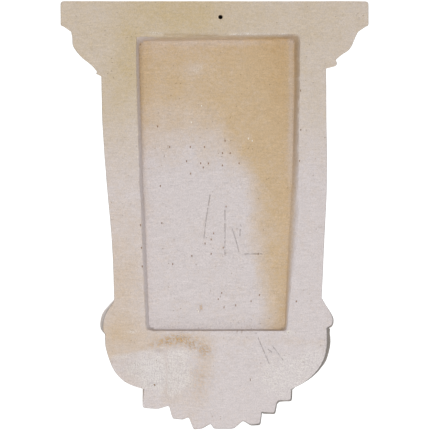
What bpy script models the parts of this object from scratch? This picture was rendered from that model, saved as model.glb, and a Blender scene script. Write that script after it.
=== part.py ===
"""Leaf corbel: one solid plaster casting, flat at the back, with a shallow hollow and a nail hole there.

Metres, +Z up. The flat back lies in the plane y = 0 and the carved front looks towards -Y. The origin is on
the back face, between the nail hole and the hollow. Right and left are as seen from the front, so right is
+X. Heights are given as drops below the top face.
"""

import math

import bmesh
import bpy
import numpy as np

TOP_ABOVE_ORIGIN = 0.025

# Capital: insets are measured in from the fascia, at equal steps down each side
FASCIA_RIGHT = 0.1572
FASCIA_LEFT = 0.1513
FASCIA_DEPTH = 0.140
FASCIA_HEIGHT = 0.0257
FASCIA_ROUND = 0.003
OVOLO_TOP = 0.031
OVOLO_HEIGHT_RIGHT = 0.040
OVOLO_HEIGHT_LEFT = 0.028
OVOLO_INSET_RIGHT = (0.0106, 0.0117, 0.0122, 0.0162, 0.0223, 0.0308, 0.0367)
OVOLO_INSET_LEFT = (0.0105, 0.0128, 0.0148, 0.0168, 0.0203, 0.0273, 0.0328)
BEAD_HEIGHT_RIGHT = 0.003
BEAD_HEIGHT_LEFT = 0.0065
BEAD_PROUD = 0.001
NECK_FALL = 0.0015
CAPITAL_CORNER = 0.003

# The mouldings of both sides run together towards the front, where they are also narrower and higher up
BACK_LIP = 0.040
CAPITAL_TAPER = 0.004
FRONT_RISE = 0.004

# Body: half widths at the back and depths, at equal steps from the neck down to the roll
BODY_HEIGHT = 0.2255
BODY_RIGHT = (0.1165, 0.1150, 0.1109, 0.1059, 0.1035)
BODY_LEFT = (0.1088, 0.1093, 0.1095, 0.1069, 0.1045)
BODY_DEPTH = (0.097, 0.095, 0.084, 0.071, 0.066)
BODY_CORNER = 0.009
PANEL_SUNK = 0.004
PANEL_MARGIN = 0.010
PANEL_STEP = 0.0015

# Roll under the body
ROLL_HEIGHT = 0.034
ROLL_PROUD = 0.0110
ROLL_DEPTH_PROUD = 0.018
ROLL_CORNER = 0.020
ROLL_LEAN = 0.0035
ROLL_STEPS = (0.06, 0.24, 0.46, 0.68, 0.88, 0.97)
ROLL_SWELL_RIGHT = (0.05, 0.44, 0.84, 1.0, 1.0, 0.80)
ROLL_SWELL_LEFT = (0.03, 0.32, 0.72, 1.0, 0.92, 0.55)
ROLL_SWELL_FRONT = (0.12, 0.62, 0.95, 1.0, 0.84, 0.45)

# Bowl that carries the pendant leaves
BOWL_RIGHT = 0.1125
BOWL_LEFT = 0.1095
BOWL_DEPTH = 0.076
BOWL_CORNER = 0.045

# How far roll and bowl stand out beyond their back outline, half way to the front
ROLL_FLARE = (0.0040, 0.0020)
BOWL_FLARE = (0.0, 0.0040)
BOWL_BULGE = (0.0, 0.0045)

# Back outline of the bowl from its rim to the outer tips: (half width, fall below the rim)
SHOULDER_RIGHT = ((0.1118, 0.0160), (0.1078, 0.0295), (0.1030, 0.0397), (0.0945, 0.0490), (0.0845, 0.0543))
SHOULDER_LEFT = ((0.1093, 0.0130), (0.1063, 0.0280), (0.0995, 0.0392), (0.0905, 0.0480), (0.0815, 0.0540))
SHOULDER_RUN = 0.094
SHOULDER_LEAFLETS = 2

# Pendant tips, right to left: each tip runs from a notch over two corners to the next notch, given as x
# and fall below the rim
TIP_NOTCHES = (
    (0.0735, 0.0577), (0.0485, 0.0742), (0.0290, 0.0857), (0.0070, 0.0922),
    (-0.0255, 0.0892), (-0.0440, 0.0802), (-0.0590, 0.0712), (-0.0735, 0.0577),
)
TIP_CORNERS = (
    ((0.0755, 0.0762), (0.0600, 0.0777)),
    ((0.0450, 0.0872), (0.0345, 0.0882)),
    ((0.0240, 0.0980), (0.0150, 0.0970)),
    ((0.0035, 0.0972), (-0.0165, 0.0972)),
    ((-0.0330, 0.0932), (-0.0425, 0.0922)),
    ((-0.0455, 0.0807), (-0.0570, 0.0812)),
    ((-0.0610, 0.0687), (-0.0735, 0.0682)),
)
TIP_FLARE = 0.0030

# Leaflets raised above the tips and on the shoulders of the bowl
LEAFLET_RELIEF = 0.009

# Leaf on the front; each lobe gives its place down the leaf, its turn out from straight down and its reach,
# the first as a share of the length and the last as a share of the half width
LEAF_START = 0.002
LEAF_LENGTH = 0.245
LEAF_HALF_WIDTH = 0.100
LEAF_RELIEF = 0.010
LEAF_EDGE = 0.003
LEAF_CROWN = 0.006
LEAF_NOSE = 0.026
LEAF_TILT = 0.0045
LEAF_BURIED = 0.006
LOBE_SPREAD = 42.0
LOBE_FINGERS = 5
LOBES = (
    (0.15, 68.0, 0.92),
    (0.31, 60.0, 0.92),
    (0.47, 50.0, 0.86),
    (0.62, 36.0, 0.74),
)
END_LOBE_DOWN = 0.72
RIB_WIDTH = 0.014
RIB_HEIGHT = 0.013

# Hollow in the back: matching corners of its mouth and its floor, (x, drop)
HOLLOW_MOUTH = (
    (0.0815, 0.0370), (-0.0835, 0.0335), (-0.0805, 0.2310), (-0.0690, 0.3300), (0.0720, 0.3300),
)
HOLLOW_FLOOR = (
    (0.0790, 0.0400), (-0.0780, 0.0375), (-0.0722, 0.2310), (-0.0675, 0.3288), (0.0686, 0.3288),
)
HOLLOW_DEPTH_TOP = 0.017
HOLLOW_DEPTH_BOTTOM = 0.008
HOLLOW_ROUND = 0.004

# Nail hole above the hollow
NAIL_RADIUS = 0.0021
NAIL_DEPTH = 0.030
NAIL_X = -0.0030
NAIL_DROP = 0.0160
CUTTER_OVERSHOOT = 0.010

# Points nearer to each other than this are one
WELD = 0.000005

# Grid of the carved surface
SIDE_COLUMNS = 4
CORNER_COLUMNS = 3
SHOULDER_COLUMNS = 10
TIP_COLUMNS = 6
BODY_ROWS = 7
PENDANT_TURNS = (12, 25, 38, 50, 61, 71, 79, 85, 90)

PLASTER_COLOUR = (0.62, 0.55, 0.50, 1.0)
PLASTER_ROUGHNESS = 0.85


def clear_scene():
    for item in list(bpy.data.objects):
        bpy.data.objects.remove(item)


def plaster():
    material = bpy.data.materials.new("cast plaster")
    material.use_nodes = True
    shader = material.node_tree.nodes["Principled BSDF"]
    shader.inputs["Base Color"].default_value = PLASTER_COLOUR
    shader.inputs["Roughness"].default_value = PLASTER_ROUGHNESS
    return material


def smoothstep(value):
    value = np.clip(value, 0.0, 1.0)
    return value * value * (3.0 - 2.0 * value)


def through(values, share):
    """Smooth curve through values at equal steps, read at share from 0 to 1."""
    values = np.asarray(values, float)
    padded = np.concatenate([[2 * values[0] - values[1]], values, [2 * values[-1] - values[-2]]])
    place = np.clip(share, 0.0, 1.0) * (len(values) - 1)
    index = np.minimum(np.asarray(place).astype(int), len(values) - 2)
    t = place - index
    before, start, end, after = (padded[index + k] for k in range(4))
    return 0.5 * (
        2 * start
        + (end - before) * t
        + (2 * before - 5 * start + 4 * end - after) * t**2
        + (3 * start - before - 3 * end + after) * t**3
    )


def level(right, left, depth, drops, corner, flare=(0.0, 0.0), taper=0.0, even=0.0):
    """What one row needs: half widths, depth, drops at right, left and front, corner radius and flares."""
    return {
        "right": float(right),
        "left": float(left),
        "depth": float(depth),
        "drops": drops,
        "corner": corner,
        "flare": flare,
        "taper": taper,
        "even": even,
    }


def capital_level(inset_right, inset_left, drop_right, drop_left):
    front = drop_left - FRONT_RISE * min(drop_left / FASCIA_HEIGHT, 1.0)
    return level(
        FASCIA_RIGHT - inset_right,
        FASCIA_LEFT - inset_left,
        FASCIA_DEPTH - (inset_right + inset_left) / 2,
        (drop_right, drop_left, front),
        CAPITAL_CORNER,
        taper=CAPITAL_TAPER,
    )


def capital_levels():
    """Fascia, ovolo and bead, from the top face down to the neck."""
    edge = FASCIA_ROUND
    levels = []
    soft = edge * (1.0 - math.sqrt(0.5))
    for inset, drop in (
        (edge, 0.0),
        (soft, soft),
        (0.0, edge),
        (0.0, FASCIA_HEIGHT - edge),
        (soft, FASCIA_HEIGHT - soft),
        (edge, FASCIA_HEIGHT),
    ):
        levels.append(capital_level(inset, inset, drop, drop))
    for share in np.linspace(0.0, 1.0, 8):
        levels.append(
            capital_level(
                through(OVOLO_INSET_RIGHT, share),
                through(OVOLO_INSET_LEFT, share),
                OVOLO_TOP + OVOLO_HEIGHT_RIGHT * share,
                OVOLO_TOP + OVOLO_HEIGHT_LEFT * share,
            )
        )
    for share, proud in ((0.25, BEAD_PROUD), (0.75, BEAD_PROUD), (1.0, -BEAD_PROUD)):
        levels.append(
            capital_level(
                OVOLO_INSET_RIGHT[-1] - proud,
                OVOLO_INSET_LEFT[-1] - proud,
                OVOLO_TOP + OVOLO_HEIGHT_RIGHT + BEAD_HEIGHT_RIGHT * share,
                OVOLO_TOP + OVOLO_HEIGHT_LEFT + BEAD_HEIGHT_LEFT * share,
            )
        )
    return levels


def body_start():
    return (
        OVOLO_TOP
        + (OVOLO_HEIGHT_RIGHT + OVOLO_HEIGHT_LEFT) / 2
        + (BEAD_HEIGHT_RIGHT + BEAD_HEIGHT_LEFT) / 2
        + NECK_FALL
    )


def body_shares():
    """Places of the body's rows: the panel's margin and step at both ends, and even rows between."""
    margin = PANEL_MARGIN / BODY_HEIGHT
    step = margin + PANEL_STEP / BODY_HEIGHT
    return [0.0, margin, *np.linspace(step, 1.0 - step, BODY_ROWS), 1.0 - margin, 1.0]


def body_levels():
    levels = []
    lean = (OVOLO_HEIGHT_RIGHT + BEAD_HEIGHT_RIGHT - OVOLO_HEIGHT_LEFT - BEAD_HEIGHT_LEFT) / 2
    for share in body_shares():
        fade = max(0.0, 1.0 - share / 0.2)
        drop = body_start() + BODY_HEIGHT * share
        levels.append(
            level(
                through(BODY_RIGHT, share),
                through(BODY_LEFT, share),
                through(BODY_DEPTH, share),
                (drop + lean * fade, drop - lean * fade, drop - (lean + FRONT_RISE) * fade),
                BODY_CORNER,
                taper=CAPITAL_TAPER * fade,
            )
        )
    return levels


def roll_drops(share):
    """The roll and the rim lie a little lower at the right end than at the left."""
    drop = body_start() + BODY_HEIGHT + ROLL_HEIGHT * share
    lean = ROLL_LEAN * (0.4 + 0.6 * share)
    return (drop + lean, drop - lean, drop)


def roll_levels():
    """The roll swells gently and turns back sharply above the bowl."""
    levels = []
    for share, right, left, front in zip(ROLL_STEPS, ROLL_SWELL_RIGHT, ROLL_SWELL_LEFT, ROLL_SWELL_FRONT):
        levels.append(
            level(
                BODY_RIGHT[-1] + ROLL_PROUD * right,
                BODY_LEFT[-1] + ROLL_PROUD * left,
                BODY_DEPTH[-1] + ROLL_DEPTH_PROUD * front,
                roll_drops(share),
                BODY_CORNER + (ROLL_CORNER - BODY_CORNER) * share,
                flare=(ROLL_FLARE[0] * right, ROLL_FLARE[1] * left),
                even=share,
            )
        )
    return levels


def bowl_rim():
    return level(BOWL_RIGHT, BOWL_LEFT, BOWL_DEPTH, roll_drops(1.0), BOWL_CORNER, flare=BOWL_FLARE, even=1.0)


def front_columns():
    return TIP_COLUMNS * len(TIP_CORNERS) + 2 * (SHOULDER_COLUMNS - SIDE_COLUMNS - CORNER_COLUMNS)


def row_points(spec):
    """One row of the surface, from the right back edge round the front to the left one."""
    path, marks = [], []
    for sign, half, flare in ((1, spec["right"], spec["flare"][0]), (-1, spec["left"], spec["flare"][1])):
        corner = spec["corner"]
        flat = spec["depth"] - corner
        taper = spec["taper"]
        side = [
            (sign * (half + flare * math.sin(math.pi * share) - taper * share), -flat * share)
            for share in np.linspace(0.0, 1.0, 25)
        ]
        arc = [
            (sign * (half - taper - corner * (1.0 - math.cos(turn))), -flat - corner * math.sin(turn))
            for turn in np.linspace(0.0, math.pi / 2, 17)[1:]
        ]
        path.append(side + arc)
        marks.append(len(side) - 1)
    right, left = path
    dense = np.array(right + left[::-1])
    length = np.concatenate([[0.0], np.cumsum(np.hypot(*np.diff(dense, axis=0).T))])
    total = length[-1]
    a, b = length[marks[0]], length[len(right) - 1]
    c, d = length[len(right)], length[len(dense) - 1 - marks[1]]
    inner = front_columns() - 4
    front = [b, *np.linspace(b + PANEL_MARGIN, c - PANEL_MARGIN, 2), c]
    panel = np.linspace(front[1] + PANEL_STEP, front[2] - PANEL_STEP, inner + 1)
    stops = np.concatenate(
        [
            np.linspace(0.0, a, SIDE_COLUMNS + 1)[:-1],
            np.linspace(a, b, CORNER_COLUMNS + 1),
            [front[1]],
            panel,
            [front[2]],
            np.linspace(c, d, CORNER_COLUMNS + 1),
            np.linspace(d, total, SIDE_COLUMNS + 1)[1:],
        ]
    )
    tips = np.linspace(SHOULDER_RUN, total - SHOULDER_RUN, TIP_COLUMNS * len(TIP_CORNERS) + 1)
    shoulder = np.linspace(0.0, SHOULDER_RUN, SHOULDER_COLUMNS + 1)[:-1]
    rim_stops = np.concatenate([shoulder, tips, (total - shoulder)[::-1]])
    stops = stops * (1.0 - spec["even"]) + rim_stops * spec["even"]
    x = np.interp(stops, length, dense[:, 0])
    y = np.interp(stops, length, dense[:, 1])
    drop_right, drop_left, drop_front = spec["drops"]
    ends = np.where(x > 0, drop_right, drop_left)
    drop = drop_front + (ends - drop_front) * (1.0 - smoothstep(-y / BACK_LIP))
    return np.stack([x, y, -drop], axis=1)


def shoulder(half, points, notch, drop):
    """Back outline of the bowl on one side, from its rim to the outer tip, as (half width, drop)."""
    rim_drop = roll_drops(1.0)[2]
    xs = [half, *(x for x, _ in points), abs(notch[0])]
    falls = [drop - rim_drop, *(fall for _, fall in points), notch[1]]
    shares = np.linspace(0.0, 1.0, SHOULDER_COLUMNS + 1)[:-1]
    return [(through(xs, share), rim_drop + through(falls, share)) for share in shares]


def pendant_outline():
    """The lower edge at the back face, from the rim's right end round the tips to its left end."""
    drop_right, drop_left, rim_drop = roll_drops(1.0)
    right = shoulder(BOWL_RIGHT, SHOULDER_RIGHT, TIP_NOTCHES[0], drop_right)
    left = shoulder(BOWL_LEFT, SHOULDER_LEFT, TIP_NOTCHES[-1], drop_left)
    points = list(right)
    points.append((TIP_NOTCHES[0][0], rim_drop + TIP_NOTCHES[0][1]))
    steps = TIP_COLUMNS // 3
    for index, corners in enumerate(TIP_CORNERS):
        run = (TIP_NOTCHES[index], *corners, TIP_NOTCHES[index + 1])
        for start, end in zip(run[:-1], run[1:]):
            for share in np.linspace(0.0, 1.0, steps + 1)[1:]:
                x, fall = np.array(start) * (1 - share) + np.array(end) * share
                points.append((x, rim_drop + fall))
    points += [(-x, drop) for x, drop in left[::-1]]
    return np.array(points)


def leaflet_places():
    """Where each column lies among the leaflets, in leaflets from the right."""
    shoulder_run = np.linspace(0.0, SHOULDER_LEAFLETS, SHOULDER_COLUMNS + 1)[:-1]
    count = len(TIP_CORNERS)
    tips = SHOULDER_LEAFLETS + np.linspace(0.0, count, TIP_COLUMNS * count + 1)
    whole = count + 2 * SHOULDER_LEAFLETS
    return np.concatenate([shoulder_run, tips, (whole - shoulder_run)[::-1]])


def pendant_rows(rim):
    """Rows from the bowl's rim to its back outline: every column takes a quarter turn inwards and down."""
    edge = pendant_outline()
    rim_drop = -rim[:, 2]
    outer = smoothstep((-edge[:, 0] - 0.02) / 0.02) * smoothstep((edge[:, 0] + 0.078) / 0.005)
    rows = [rim]
    bulge = np.zeros(len(edge))
    swell = np.sin(np.linspace(0.0, math.pi, SHOULDER_COLUMNS + 2))
    bulge[: SHOULDER_COLUMNS + 2] = BOWL_BULGE[0] * swell
    bulge[-SHOULDER_COLUMNS - 2 :] = -BOWL_BULGE[1] * swell
    for angle in PENDANT_TURNS:
        turn = math.radians(angle)
        out = TIP_FLARE * outer * math.sin(math.pi * np.clip((angle - 50) / 40, 0.0, 1.0)) ** 0.5
        x = edge[:, 0] + (rim[:, 0] - edge[:, 0]) * max(math.cos(turn), 0.0) ** 1.5 - 0.5 * out
        x = x + bulge * math.sin(math.pi * max(angle - 20, 0) / 70)
        y = rim[:, 1] * math.cos(turn)
        drop = rim_drop + (edge[:, 1] - rim_drop) * math.sin(turn) + out
        rows.append(np.stack([x, y, -drop], axis=1))
    rows[-1][:, 1] = 0.0
    return np.array(rows)


def raise_leaflets(rows):
    """Raises one rounded leaflet above each tip and on the shoulders, with a groove down its middle."""
    across = np.gradient(rows, axis=1)
    down = np.gradient(rows, axis=0)
    normal = np.cross(across, down)
    normal /= np.maximum(np.linalg.norm(normal, axis=2, keepdims=True), 1e-12)
    place = leaflet_places()
    whole = place[-1]
    b = np.abs(2.0 * (place - np.floor(np.minimum(place, whole - 1e-9))) - 1.0)
    body = np.clip(1.0 - b**2.4, 0.0, 1.0) ** 0.6
    groove = 1.0 - 0.35 * np.exp(-((b / 0.2) ** 2))
    turns = np.radians([0, *PENDANT_TURNS])
    fade = smoothstep(turns / 0.45) * np.clip(np.cos(turns), 0.0, 1.0) ** 1.3
    edge = smoothstep((np.minimum(place, whole - place) - 0.4) / 1.8)
    lift = LEAFLET_RELIEF * fade[:, None] * (body * groove * edge)[None, :]
    return rows + normal * lift[..., None]


def carved_points():
    """The carved surface as a grid of points: rows from the top down, columns from right to left."""
    capital, body, roll = capital_levels(), body_levels(), roll_levels()
    rows = [row_points(spec) for spec in capital + body + roll]
    first = len(capital) + 2
    last = len(capital) + len(body) - 3
    edge = SIDE_COLUMNS + CORNER_COLUMNS + 2
    for row in rows[first : last + 1]:
        row[edge:-edge, 1] += PANEL_SUNK
    pendant = raise_leaflets(pendant_rows(row_points(bowl_rim())))
    return np.concatenate([np.array(rows), pendant])


def new_object(name, shape):
    bmesh.ops.recalc_face_normals(shape, faces=shape.faces)
    mesh = bpy.data.meshes.new(name)
    shape.to_mesh(mesh)
    shape.free()
    item = bpy.data.objects.new(name, mesh)
    bpy.context.scene.collection.objects.link(item)
    return item


def grid_faces(shape, points):
    verts = [[shape.verts.new(point) for point in row] for row in points]
    for upper, lower in zip(verts[:-1], verts[1:]):
        for j in range(len(upper) - 1):
            shape.faces.new((upper[j], upper[j + 1], lower[j + 1], lower[j]))
    return verts


def corbel_block(material):
    """The carved surface closed by a flat top and a flat back."""
    points = carved_points() + np.array([0.0, 0.0, TOP_ABOVE_ORIGIN])
    shape = bmesh.new()
    verts = grid_faces(shape, points)
    shape.faces.new(verts[0])
    rim = len(verts) - len(PENDANT_TURNS) - 1
    right = [row[0] for row in verts[:rim]]
    left = [row[-1] for row in verts[:rim]]
    shape.faces.new(right + verts[-1] + left[::-1])
    bmesh.ops.remove_doubles(shape, verts=shape.verts, dist=WELD)
    bmesh.ops.triangulate(shape, faces=[face for face in shape.faces if len(face.verts) == 4])
    block = new_object("corbel", shape)
    block.data.materials.append(material)
    return block


def leaf_bed(x, down):
    """Depth of the surface the leaf grows from: it follows the body, bows out and lifts at the lower end."""
    share = (down + LEAF_START) / BODY_HEIGHT
    crown = LEAF_CROWN * (1.0 - np.clip(x / LEAF_HALF_WIDTH, -1.0, 1.0) ** 2)
    nose = LEAF_NOSE * smoothstep((down / LEAF_LENGTH - 0.55) / 0.42)
    return through(BODY_DEPTH, share) - PANEL_SUNK + crown + nose


def lobe_reach(phi):
    """How far a lobe reaches in the direction phi, from -1 to 1 across its fan, less between the fingers."""
    place = (phi + 1.0) / 2.0 * LOBE_FINGERS
    b = 2.0 * (place - np.floor(np.minimum(place, LOBE_FINGERS - 1e-9))) - 1.0
    return (1.0 - 0.28 * np.abs(phi) ** 2.2) * (1.0 - 0.17 * np.abs(b) ** 3.0), b


def lobe_height(r, phi):
    """Height of a lobe above its bed at the share r of its reach, as a share of the relief."""
    b = lobe_reach(phi)[1]
    rise = 0.30 + 0.70 * np.sin(np.pi / 2 * np.clip(r / 0.75, 0.0, 1.0))
    round_over = np.sqrt(np.clip(1.0 - (np.clip(r - 0.72, 0.0, 1.0) / 0.30) ** 2, 0.0, 1.0))
    outer = smoothstep((r - 0.3) / 0.45)
    valley = 1.0 - 0.60 * np.abs(b) ** 2.5 * outer
    vein = 1.0 - 0.14 * np.exp(-((b / 0.22) ** 2)) * outer
    return rise * round_over * valley * vein


def lobe(name, side, down, turn, reach, tilt):
    """A fan of rounded fingers as a closed solid, buried in the body below it."""
    phi = np.linspace(-1.0, 1.0, 4 * LOBE_FINGERS + 1)
    shares = np.array([0.06, 0.35, 0.60, 0.80, 0.93, 1.0])
    angle = np.radians(turn + phi * LOBE_SPREAD)
    r = shares[:, None] * lobe_reach(phi)[0][None, :] * reach
    x = side * r * np.sin(angle)[None, :]
    q = down + r * np.cos(angle)[None, :]
    height = LEAF_EDGE + LEAF_RELIEF * lobe_height(shares[:, None], phi[None, :])
    height = height - tilt * phi[None, :] * shares[:, None]
    top = np.stack([x, -leaf_bed(x, q) - height, -(body_start() + LEAF_START + q)], axis=2)
    bottom = top.copy()
    share = (q + LEAF_START) / BODY_HEIGHT
    bottom[..., 1] = -(through(BODY_DEPTH, share) - PANEL_SUNK - LEAF_BURIED)
    offset = np.array([0.0, 0.0, TOP_ABOVE_ORIGIN])
    shape = bmesh.new()
    upper = grid_faces(shape, top + offset)
    lower = grid_faces(shape, bottom + offset)

    def rim(grid):
        return grid[0] + [row[-1] for row in grid[1:]] + grid[-1][-2::-1] + [row[0] for row in grid[-2:0:-1]]

    above, below = rim(upper), rim(lower)
    for k in range(len(above)):
        after = (k + 1) % len(above)
        shape.faces.new((above[k], above[after], below[after], below[k]))
    bmesh.ops.triangulate(shape, faces=shape.faces)
    return new_object(name, shape)


def rib():
    """Rounded rib down the middle of the leaf, thinning towards its tip."""
    rows_top, rows_bottom = [], []
    for share in np.linspace(0.0, 0.93, 12):
        q = LEAF_LENGTH * share
        half = RIB_WIDTH / 2 * (1.0 - 0.72 * share)
        across = np.cos(np.linspace(0.0, math.pi, 7))
        x = half * across
        height = LEAF_EDGE + RIB_HEIGHT * (1.0 - 0.35 * share) * np.sqrt(np.clip(1.0 - across**2, 0.0, 1.0))
        z = np.full(7, TOP_ABOVE_ORIGIN - body_start() - LEAF_START - q)
        rows_top.append(np.stack([x, -leaf_bed(x, q) - height, z], axis=1))
        bed = through(BODY_DEPTH, (q + LEAF_START) / BODY_HEIGHT) - PANEL_SUNK - LEAF_BURIED
        rows_bottom.append(np.stack([x, np.full(7, -bed), z], axis=1))
    shape = bmesh.new()
    upper = grid_faces(shape, rows_top)
    lower = grid_faces(shape, rows_bottom)
    for a, b in ((upper[0], lower[0]), (upper[-1], lower[-1])):
        for j in range(6):
            shape.faces.new((a[j], a[j + 1], b[j + 1], b[j]))
    for j in (0, -1):
        for i in range(len(upper) - 1):
            shape.faces.new((upper[i][j], upper[i + 1][j], lower[i + 1][j], lower[i][j]))
    bmesh.ops.triangulate(shape, faces=shape.faces)
    return new_object("rib", shape)


def leaf_pieces():
    pieces = []
    for index, (down, turn, reach) in enumerate(LOBES):
        for side, word in ((1, "right"), (-1, "left")):
            name = f"lobe {index + 1} {word}"
            size = reach * LEAF_HALF_WIDTH
            pieces.append(lobe(name, side, down * LEAF_LENGTH, turn, size, LEAF_TILT))
    end_reach = LEAF_LENGTH * (1.0 - END_LOBE_DOWN)
    pieces.append(lobe("end lobe", 1, END_LOBE_DOWN * LEAF_LENGTH, 0.0, end_reach, 0.0))
    pieces.append(rib())
    return pieces


def hollow_depth(drop):
    top, bottom = HOLLOW_MOUTH[0][1], HOLLOW_MOUTH[-1][1]
    return HOLLOW_DEPTH_TOP + (HOLLOW_DEPTH_BOTTOM - HOLLOW_DEPTH_TOP) * (drop - top) / (bottom - top)


def hollow_cutter():
    """A drafted block whose floor lies deeper at the top than at the bottom."""
    shape = bmesh.new()
    mouth, floor = [], []
    for (mouth_x, mouth_drop), (floor_x, floor_drop) in zip(HOLLOW_MOUTH, HOLLOW_FLOOR):
        depth = hollow_depth(floor_drop)
        beyond = 1.0 + CUTTER_OVERSHOOT / depth
        x = floor_x + (mouth_x - floor_x) * beyond
        drop = floor_drop + (mouth_drop - floor_drop) * beyond
        mouth.append(shape.verts.new((x, CUTTER_OVERSHOOT, TOP_ABOVE_ORIGIN - drop)))
        floor.append(shape.verts.new((floor_x, -depth, TOP_ABOVE_ORIGIN - floor_drop)))
    shape.faces.new(mouth)
    shape.faces.new(floor)
    for k in range(len(mouth)):
        after = (k + 1) % len(mouth)
        shape.faces.new((mouth[k], mouth[after], floor[after], floor[k]))
    upright = [e for e in shape.edges if (e.verts[0] in floor) != (e.verts[1] in floor)]
    bmesh.ops.bevel(shape, geom=upright, offset=HOLLOW_ROUND, segments=3, profile=0.5, affect="EDGES")
    bmesh.ops.triangulate(shape, faces=shape.faces)
    return new_object("hollow cutter", shape)


def nail_cutter():
    shape = bmesh.new()
    length = NAIL_DEPTH + CUTTER_OVERSHOOT
    bmesh.ops.create_cone(
        shape, cap_ends=True, segments=16, radius1=NAIL_RADIUS, radius2=NAIL_RADIUS, depth=length
    )
    item = new_object("nail hole cutter", shape)
    item.rotation_euler = (math.pi / 2, 0.0, 0.0)
    item.location = (NAIL_X, (CUTTER_OVERSHOOT - NAIL_DEPTH) / 2, TOP_ABOVE_ORIGIN - NAIL_DROP)
    return item


def combine(block, other, operation):
    other.hide_render = True
    other.display_type = "WIRE"
    modifier = block.modifiers.new(other.name, "BOOLEAN")
    modifier.operation = operation
    modifier.solver = "EXACT"
    modifier.object = other


def main():
    clear_scene()
    block = corbel_block(plaster())
    for piece in leaf_pieces():
        combine(block, piece, "UNION")
    combine(block, hollow_cutter(), "DIFFERENCE")
    combine(block, nail_cutter(), "DIFFERENCE")


main()
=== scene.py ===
"""Leaf corbel in cast plaster, seen from the back as it would hang on a wall.

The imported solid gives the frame. This script makes the same casting again with a finer surface, adds
the marks in its plaster, and lights it in front of a plain white backdrop. Lengths are in metres unless a
name says mm. Heights are given as drops below the top face, and right is +X, as seen from the carved front.
"""

import math

import bpy
import numpy as np
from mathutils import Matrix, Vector


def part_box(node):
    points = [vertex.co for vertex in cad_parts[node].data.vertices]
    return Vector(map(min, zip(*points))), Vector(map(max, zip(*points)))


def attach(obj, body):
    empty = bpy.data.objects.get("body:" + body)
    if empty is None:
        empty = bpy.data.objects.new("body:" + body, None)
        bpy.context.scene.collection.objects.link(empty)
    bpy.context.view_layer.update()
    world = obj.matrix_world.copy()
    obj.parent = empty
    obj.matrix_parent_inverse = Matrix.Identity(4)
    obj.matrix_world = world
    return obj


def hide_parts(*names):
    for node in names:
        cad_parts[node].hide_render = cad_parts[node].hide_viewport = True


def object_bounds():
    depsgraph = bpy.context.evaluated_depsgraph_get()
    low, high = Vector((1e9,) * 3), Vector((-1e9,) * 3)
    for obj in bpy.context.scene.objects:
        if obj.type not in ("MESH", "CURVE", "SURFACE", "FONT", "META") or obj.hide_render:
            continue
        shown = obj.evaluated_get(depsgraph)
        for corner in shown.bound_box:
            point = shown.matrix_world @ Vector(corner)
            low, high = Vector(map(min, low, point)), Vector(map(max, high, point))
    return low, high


bl_info = {
    "name": "Leaf corbel in cast plaster",
    "version": (1, 0, 0),
    "blender": (4, 5, 0),
    "location": "3D Viewport > Sidebar > Corbel",
    "description": "Makes the plaster casting, its finish and the stage around it",
    "category": "Object",
}

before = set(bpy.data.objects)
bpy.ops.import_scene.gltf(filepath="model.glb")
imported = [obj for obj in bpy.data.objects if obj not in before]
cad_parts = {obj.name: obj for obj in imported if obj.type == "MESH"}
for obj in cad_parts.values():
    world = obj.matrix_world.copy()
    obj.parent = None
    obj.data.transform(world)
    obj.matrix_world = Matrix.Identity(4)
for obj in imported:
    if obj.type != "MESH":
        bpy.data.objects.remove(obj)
CAD_BOX = [list(corner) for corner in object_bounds()]
NODE_LOW, NODE_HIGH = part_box("corbel")

MM = 0.001
TOP_Z = NODE_HIGH[2]

# Capital: insets run in from the fascia, at equal steps down each side
FASCIA_RIGHT = NODE_HIGH[0]
FASCIA_LEFT = -NODE_LOW[0]
FASCIA_DEPTH = -NODE_LOW[1]
FASCIA_HEIGHT = 0.0257
FASCIA_ROUND = 0.003
OVOLO_TOP = 0.031
OVOLO_HEIGHT = (0.040, 0.028)
OVOLO_INSET_RIGHT = (0.0106, 0.0117, 0.0122, 0.0162, 0.0223, 0.0308, 0.0367)
OVOLO_INSET_LEFT = (0.0105, 0.0128, 0.0148, 0.0168, 0.0203, 0.0273, 0.0328)
BEAD_HEIGHT = (0.003, 0.0065)
BEAD_PROUD = 0.001
NECK_FALL = 0.0015
CAPITAL_CORNER = 0.003
BACK_LIP = 0.040
CAPITAL_TAPER = 0.004
FRONT_RISE = 0.004

# Body: half widths at the back and depths, at equal steps from the neck down to the roll
BODY_HEIGHT = 0.2255
BODY_RIGHT = (0.1165, 0.1150, 0.1109, 0.1059, 0.1035)
BODY_LEFT = (0.1088, 0.1093, 0.1095, 0.1069, 0.1045)
BODY_DEPTH = (0.097, 0.095, 0.084, 0.071, 0.066)
BODY_CORNER = 0.009
PANEL_SUNK = 0.004
PANEL_MARGIN = 0.010
PANEL_STEP = 0.0015

# Roll, and the bowl that carries the pendant leaves
ROLL_HEIGHT = 0.034
ROLL_PROUD = 0.0110
ROLL_DEPTH_PROUD = 0.018
ROLL_CORNER = 0.020
ROLL_LEAN = 0.0035
ROLL_STEPS = (0.06, 0.24, 0.46, 0.68, 0.88, 0.97)
ROLL_SWELL_RIGHT = (0.05, 0.44, 0.84, 1.0, 1.0, 0.80)
ROLL_SWELL_LEFT = (0.03, 0.32, 0.72, 1.0, 0.92, 0.55)
ROLL_SWELL_FRONT = (0.12, 0.62, 0.95, 1.0, 0.84, 0.45)
BOWL_RIGHT = 0.1125
BOWL_LEFT = 0.1095
BOWL_DEPTH = 0.076
BOWL_CORNER = 0.045
ROLL_FLARE = (0.0040, 0.0020)
BOWL_FLARE = (0.0, 0.0040)
BOWL_BULGE = (0.0, 0.0045)

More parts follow.
